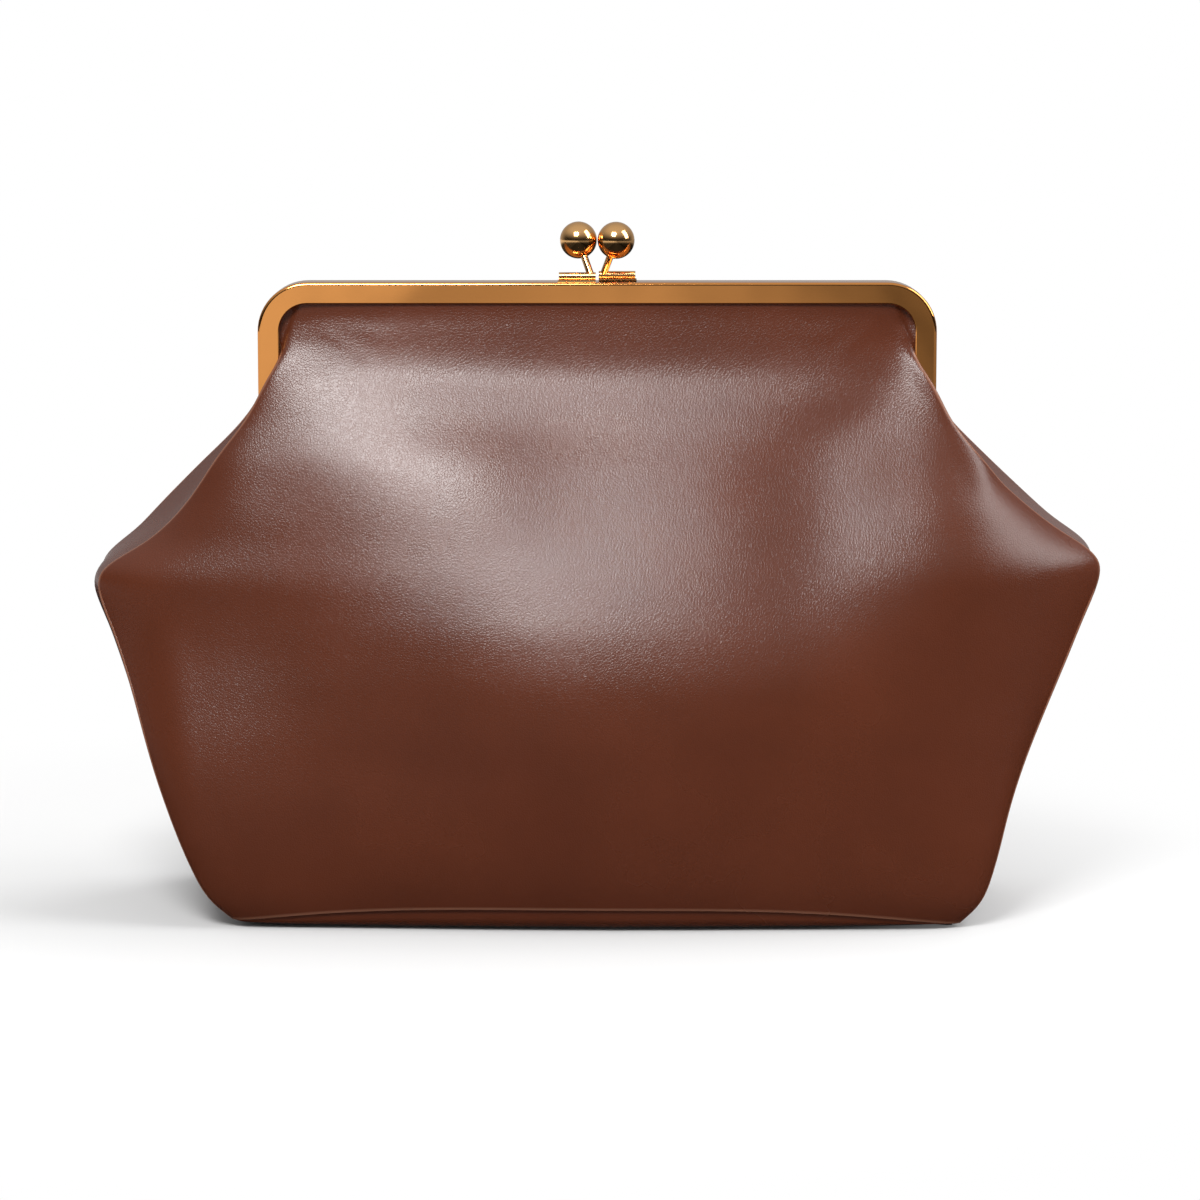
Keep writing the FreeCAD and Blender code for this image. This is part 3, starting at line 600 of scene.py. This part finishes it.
leather = finished_cowhide()
twill = cotton_twill()
frame_brass = polished_brass("frame_brass", "#EDA159", 0.08)
# the lock's brass is a paler copy of the frame's, painted lighter so that the balls look more brightly lit
lock_brass = polished_brass("lock_brass", "#F0BA7C", 0.13)
board = pressed_fibre("grey_board", "#8C8276", "#A89E90", 0.8 * MM)
paper = pressed_fibre("kraft_paper", "#9A7B52", "#B8986C", 0.5 * MM)

# Leather and lining. The base's leather is drawn up along its border to the seam, and its lining is
# a flat tray with a low rim.
BASE_RINGS = [
    (10, 0, 0), (7.5, 0.2, 0.02), (5, 0.5, 0.1), (3.2, 0.7, 0.2), (2.0, 0.6, 0.35), (1.5, 0.3, 0.55),
    (1.4, 0, 0.8), (1.4, 0, 0.95), (2.6, 1.5, 1),
]
BASE_LINING_RINGS = [(6, 4.5, 0), (4.2, 4.9, 0), (3.6, 6.5, 0)]
front_outer = panel_grid("front", FRONT_FOLDS)
back_outer = panel_grid("back", BACK_FOLDS)
left_outer = gusset_grid("left", front_outer, back_outer)
right_outer = gusset_grid("right", front_outer, back_outer)
walls = (front_outer, right_outer, back_outer, left_outer)
base_outer = tray_grid(*walls, BASE_RINGS)[:, ::-1]
front_lining = inset_grid(front_outer, LINING_INSET, LINING_END_INSET)
back_lining = inset_grid(back_outer, LINING_INSET, LINING_END_INSET)
left_lining = inset_grid(left_outer, LINING_INSET, 0)
right_lining = inset_grid(right_outer, LINING_INSET, 0)
base_lining = tray_grid(*walls, BASE_LINING_RINGS)

# Each sheet's name, surface, thickness, material, slot, the nodes that it stands for, the frame half that
# it swings with, and what it rests on
HIDE = (LEATHER, leather, "brown_leather")
CLOTH = (LINING, twill, "lining_cloth")
PANELS = ["front_leather", "back_leather"]
SHEETS = [
    ("front_leather", front_outer, *HIDE, ["front_panel", "front_panel_top"], "front_half", ["front_frame"]),
    ("back_leather", back_outer, *HIDE, ["back_panel", "back_panel_top"], "back_half", ["back_frame"]),
    ("left_gusset_leather", left_outer, *HIDE, ["left_gusset"], None, PANELS),
    ("right_gusset_leather", right_outer, *HIDE, ["right_gusset"], None, PANELS),
    ("base_leather", base_outer, *HIDE, ["base_panel"], None, PANELS),
    ("front_lining_cloth", front_lining, *CLOTH, ["front_lining", "front_lining_top"], "front_half",
     ["front_leather"]),
    ("back_lining_cloth", back_lining, *CLOTH, ["back_lining", "back_lining_top"], "back_half",
     ["back_leather"]),
    ("left_gusset_lining_cloth", left_lining, *CLOTH, ["left_gusset_lining"], None,
     ["left_gusset_leather"]),
    ("right_gusset_lining_cloth", right_lining, *CLOTH, ["right_gusset_lining"], None,
     ["right_gusset_leather"]),
    ("base_lining_cloth", base_lining, *CLOTH, ["base_lining"], None, ["base_board"]),
]
for name, grid, thickness, material, slot, nodes, swings_with, rests_on in SHEETS:
    piece = sheet_mesh(name, grid, thickness, material)
    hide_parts(*nodes)
    if swings_with:
        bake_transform(piece)
    else:
        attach(piece, "pouch")

# Finishes of the metal, board and cord, by a word in the node's name
FINISHES = {"frame": frame_brass, "lock": lock_brass, "rivet": lock_brass, "board": board, "cord": paper}
for name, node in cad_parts.items():
    for word, material in FINISHES.items():
        if word in name:
            node.data.materials[0] = material

# Floor, light and camera

def backdrop_rays(tree):
    """1 for rays that see the backdrop straight, and 1 for rays that see it by way of another surface."""
    path = add_node(tree, "ShaderNodeLightPath")
    mirrored = add_node(tree, "ShaderNodeMath", {
        0: path.outputs["Is Glossy Ray"], 1: path.outputs["Is Transmission Ray"]}, operation="MAXIMUM")
    return path.outputs["Is Camera Ray"], mirrored.outputs[0]


# The studio in front of the purse, as its frame mirrors it: places from left to right and their brightness,
# set so that the flange runs from bright to dark as it does in the photo
CARDS_HALF = 0.38
FRONT_CARDS = [
    # a bright reflector at the left, and the gap beside it
    (-CARDS_HALF, 0.8), (-0.24, 0.9), (-0.2, 0.4),
    # a soft card in the middle, and the gap beside it
    (0.02, 0.62), (0.24, 0.34),
    # a dark flag at the right, with the room behind it
    (0.28, 0.05), (CARDS_HALF, 0.3),
]

# The floor's shadow fades out between two distances from its middle, and in reflections
# the floor brightens between two distances from the purse
SHADOW_MIDDLE = (-0.06, 0, 0)
SHADOW_FADE = (0.13, 0.36)
FLOOR_SWEEP = (0.7, 1.9)
NEAR_FLOOR_STRENGTH = 0.05


def white_floor():
    """A pale matte floor that fades to plain white away from the purse, and is mirrored darker close by."""
    material, tree, output = new_material("white_floor")
    place = add_node(tree, "ShaderNodeTexCoord").outputs["Object"]
    distance = add_node(tree, "ShaderNodeVectorMath", {0: place}, operation="LENGTH").outputs["Value"]
    straight, mirrored = backdrop_rays(tree)
    from_shadow = add_node(tree, "ShaderNodeVectorMath", {0: place, 1: SHADOW_MIDDLE}, operation="DISTANCE")
    fade = add_node(tree, "ShaderNodeMapRange", {
        "Value": from_shadow.outputs["Value"], "From Min": SHADOW_FADE[0], "From Max": SHADOW_FADE[1]},
        interpolation_type="SMOOTHSTEP")
    faded = add_node(tree, "ShaderNodeMath", {0: fade.outputs[0], 1: straight}, operation="MULTIPLY")
    share = add_node(tree, "ShaderNodeMath", {0: faded.outputs[0], 1: mirrored}, operation="MAXIMUM")
    sweep = add_node(tree, "ShaderNodeMapRange", {
        "Value": distance, "From Min": FLOOR_SWEEP[0], "From Max": FLOOR_SWEEP[1],
        "To Min": NEAR_FLOOR_STRENGTH, "To Max": 1.0},
        interpolation_type="SMOOTHSTEP")
    across = add_node(tree, "ShaderNodeSeparateXYZ", {0: place}).outputs["X"]
    card_place = add_node(tree, "ShaderNodeMapRange", {
        "Value": across, "From Min": -CARDS_HALF, "From Max": CARDS_HALF})
    cards = add_node(tree, "ShaderNodeValToRGB", {"Fac": card_place.outputs[0]})
    stops = cards.color_ramp.elements
    for card_x, level in FRONT_CARDS:
        along = (card_x / CARDS_HALF + 1) / 2
        stop = stops[0] if along == 0 else stops[-1] if along == 1 else stops.new(along)
        stop.color = [level] * 3 + [1]
    room = add_node(tree, "ShaderNodeMath", {
        0: sweep.outputs[0], 1: cards.outputs["Color"]}, operation="MULTIPLY")
    strength = add_node(tree, "ShaderNodeMath", {0: straight, 1: room.outputs[0]}, operation="MAXIMUM")
    matte = add_node(tree, "ShaderNodeBsdfDiffuse", {"Color": linear("#C8C8C8")})
    white = add_node(tree, "ShaderNodeEmission", {"Color": (1, 1, 1, 1), "Strength": strength.outputs[0]})
    mix = add_node(tree, "ShaderNodeMixShader", {
        0: share.outputs[0], 1: matte.outputs[0], 2: white.outputs[0]})
    tree.links.new(mix.outputs[0], output.inputs["Surface"])
    return material


FLOOR_HALF = 6.0
floor_mesh = bpy.data.meshes.new("floor")
floor_corners = [(x * FLOOR_HALF, y * FLOOR_HALF, 0) for x, y in ((-1, -1), (1, -1), (1, 1), (-1, 1))]
floor_mesh.from_pydata(floor_corners, [], [(0, 1, 2, 3)])
floor_mesh.materials.append(white_floor())
floor = bpy.data.objects.new("floor", floor_mesh)
bpy.context.scene.collection.objects.link(floor)

# The room's walls: how bright they look in the brass and the sheen, and how brightly they light the purse.
# The spans say where one passes into the next, as the part of a ray's heading that points up or to the back.
BACK_WALL_MIRRORED = 0.42
BACK_WALL_LIGHT = 1.0
FRONT_WALL_LIGHT = 0.55
OVERHEAD_MIRRORED = (0.02, 0.62)
OVERHEAD_SPAN = (0.1, 0.9)
FRONT_TO_BACK_SPAN = (-0.2, 1.0)
world = bpy.data.worlds.new("studio")
bpy.context.scene.world = world
world.use_nodes = True
world_tree = world.node_tree
world_tree.nodes.clear()
world_output = world_tree.nodes.new("ShaderNodeOutputWorld")
sky = add_node(world_tree, "ShaderNodeTexCoord").outputs["Generated"]
heading = add_node(world_tree, "ShaderNodeSeparateXYZ", {0: sky})
straight, mirrored = backdrop_rays(world_tree)
back_wall = add_node(world_tree, "ShaderNodeMapRange", {
    "Value": mirrored, "To Min": BACK_WALL_LIGHT, "To Max": BACK_WALL_MIRRORED})
overhead = add_node(world_tree, "ShaderNodeMapRange", {
    "Value": heading.outputs["Z"], "From Min": OVERHEAD_SPAN[0], "From Max": OVERHEAD_SPAN[1],
    "To Min": OVERHEAD_MIRRORED[0], "To Max": OVERHEAD_MIRRORED[1]},
    interpolation_type="SMOOTHSTEP")
front_wall = add_node(world_tree, "ShaderNodeMapRange", {
    "Value": mirrored, "To Min": FRONT_WALL_LIGHT, "To Max": overhead.outputs[0]})
room = add_node(world_tree, "ShaderNodeMapRange", {
    "Value": heading.outputs["Y"], "From Min": FRONT_TO_BACK_SPAN[0], "From Max": FRONT_TO_BACK_SPAN[1],
    "To Min": front_wall.outputs[0], "To Max": back_wall.outputs[0]},
    interpolation_type="SMOOTHSTEP")
strength = add_node(world_tree, "ShaderNodeMath", {0: straight, 1: room.outputs[0]}, operation="MAXIMUM")
backdrop = add_node(world_tree, "ShaderNodeBackground", {
    "Color": (1, 1, 1, 1), "Strength": strength.outputs[0]})
world_tree.links.new(backdrop.outputs[0], world_output.inputs["Surface"])

# The middle of the purse, at which the lamps aim
AIM = Vector((0, 0, 0.11))


def softbox(name, place, width, height, watts, mirrored=True):
    """A soft rectangular lamp that faces the purse, seen in the brass and the sheen only if mirrored."""
    lamp = bpy.data.lights.new(name, "AREA")
    lamp.shape = "RECTANGLE"
    lamp.size, lamp.size_y, lamp.energy = width, height, watts
    light = bpy.data.objects.new(name, lamp)
    light.location = place
    light.rotation_euler = (AIM - Vector(place)).to_track_quat("-Z", "Y").to_euler()
    light.visible_glossy = mirrored
    bpy.context.scene.collection.objects.link(light)


softbox("key_softbox", (-0.28, -0.97, 1.08), 0.5, 0.5, 21)
softbox("right_softbox", (0.98, -0.3, 0.85), 0.5, 0.9, 9)
softbox("top_softbox", (0.6, 0.45, 1.3), 1.0, 0.8, 9, mirrored=False)

# The camera stands where the photo was taken: the photo's side in px, and what one px spans at the purse
PHOTO_SIDE = 1200
PHOTO_STEP = 0.3280 * MM
SENSOR_WIDTH = 36
LOOK_AT = Vector((0.9 * MM, 0, 100.5 * MM))
CAMERA_ELEVATION = math.radians(8)
CAMERA_DISTANCE = 1.4
camera_data = bpy.data.cameras.new("camera")
camera_data.sensor_width = SENSOR_WIDTH
camera_data.lens = SENSOR_WIDTH * CAMERA_DISTANCE / (PHOTO_SIDE * PHOTO_STEP)
camera = bpy.data.objects.new("camera", camera_data)
towards = Vector((0, -math.cos(CAMERA_ELEVATION), math.sin(CAMERA_ELEVATION)))
camera.location = LOOK_AT + towards * CAMERA_DISTANCE
camera.rotation_euler = (-towards).to_track_quat("-Z", "Y").to_euler()
bpy.context.scene.collection.objects.link(camera)
bpy.context.scene.camera = camera
bpy.context.scene.view_settings.view_transform = "Standard"
